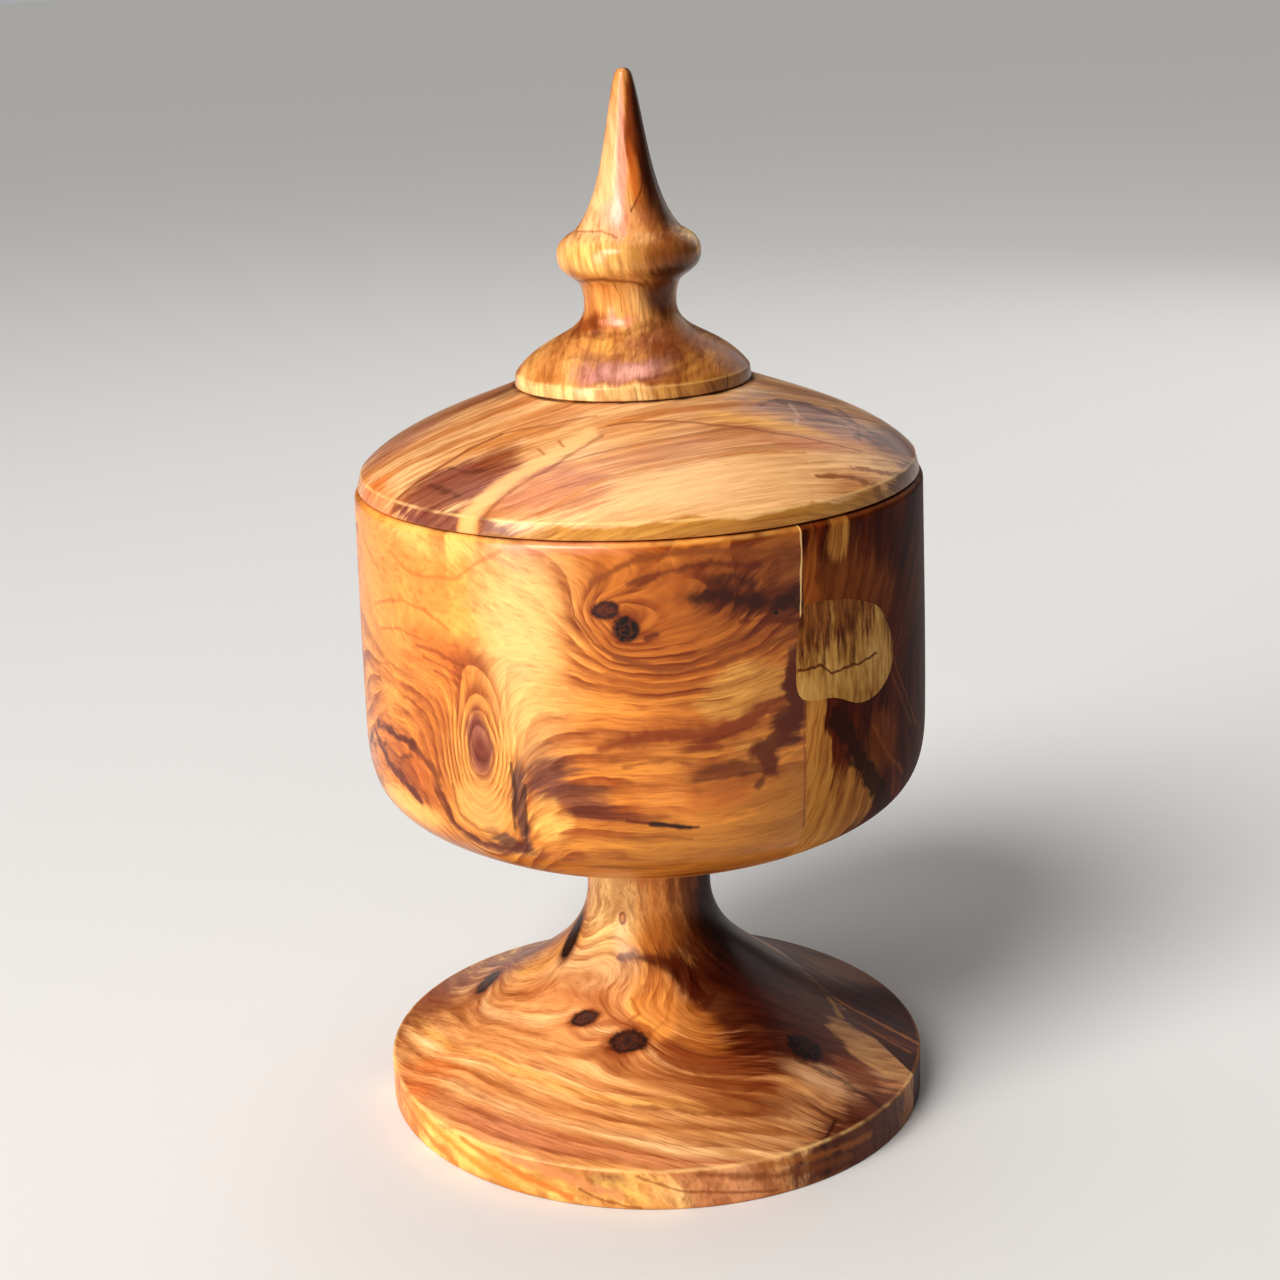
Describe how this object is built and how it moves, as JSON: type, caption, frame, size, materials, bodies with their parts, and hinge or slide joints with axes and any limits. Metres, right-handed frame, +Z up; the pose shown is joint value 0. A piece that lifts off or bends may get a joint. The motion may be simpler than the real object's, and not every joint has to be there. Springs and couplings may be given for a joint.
{
  "type": "turned lidded pedestal box",
  "caption": "Round turned wooden box on a flared pedestal foot, with a domed lid that lifts off by a tapering spire finial.",
  "frame": {"origin": "centre of the foot's flat underside, which stands on the ground", "axes": "+Z up along the turning axis, -Y towards the front, the side that shows the bowl's two dark knots"},
  "size_m": [0.1524, 0.1524, 0.2825],
  "materials": {
    "foot_wood": "satin varnish",
    "foot_side_wood": "satin varnish",
    "bowl_front_wood": "satin varnish",
    "bowl_back_wood": "satin varnish",
    "filler": "matt wood filler, sanded flush",
    "lid_wood": "satin varnish",
    "finial_wood": "satin varnish"
  },
  "bodies": {
    "base": {"foot_main": "foot_wood", "foot_side_board": "foot_side_wood", "bowl_front_block": "bowl_front_wood", "bowl_back_block": "bowl_back_wood", "bowl_filler": "filler"},
    "lid": {"lid_board": "lid_wood", "finial": "finial_wood"}
  },
  "joints": [
    {"name": "lid_lift", "type": "slide", "parent": "base", "child": "lid", "axis": [0, 0, 1], "range_m": [0, 0.12]}
  ]
}
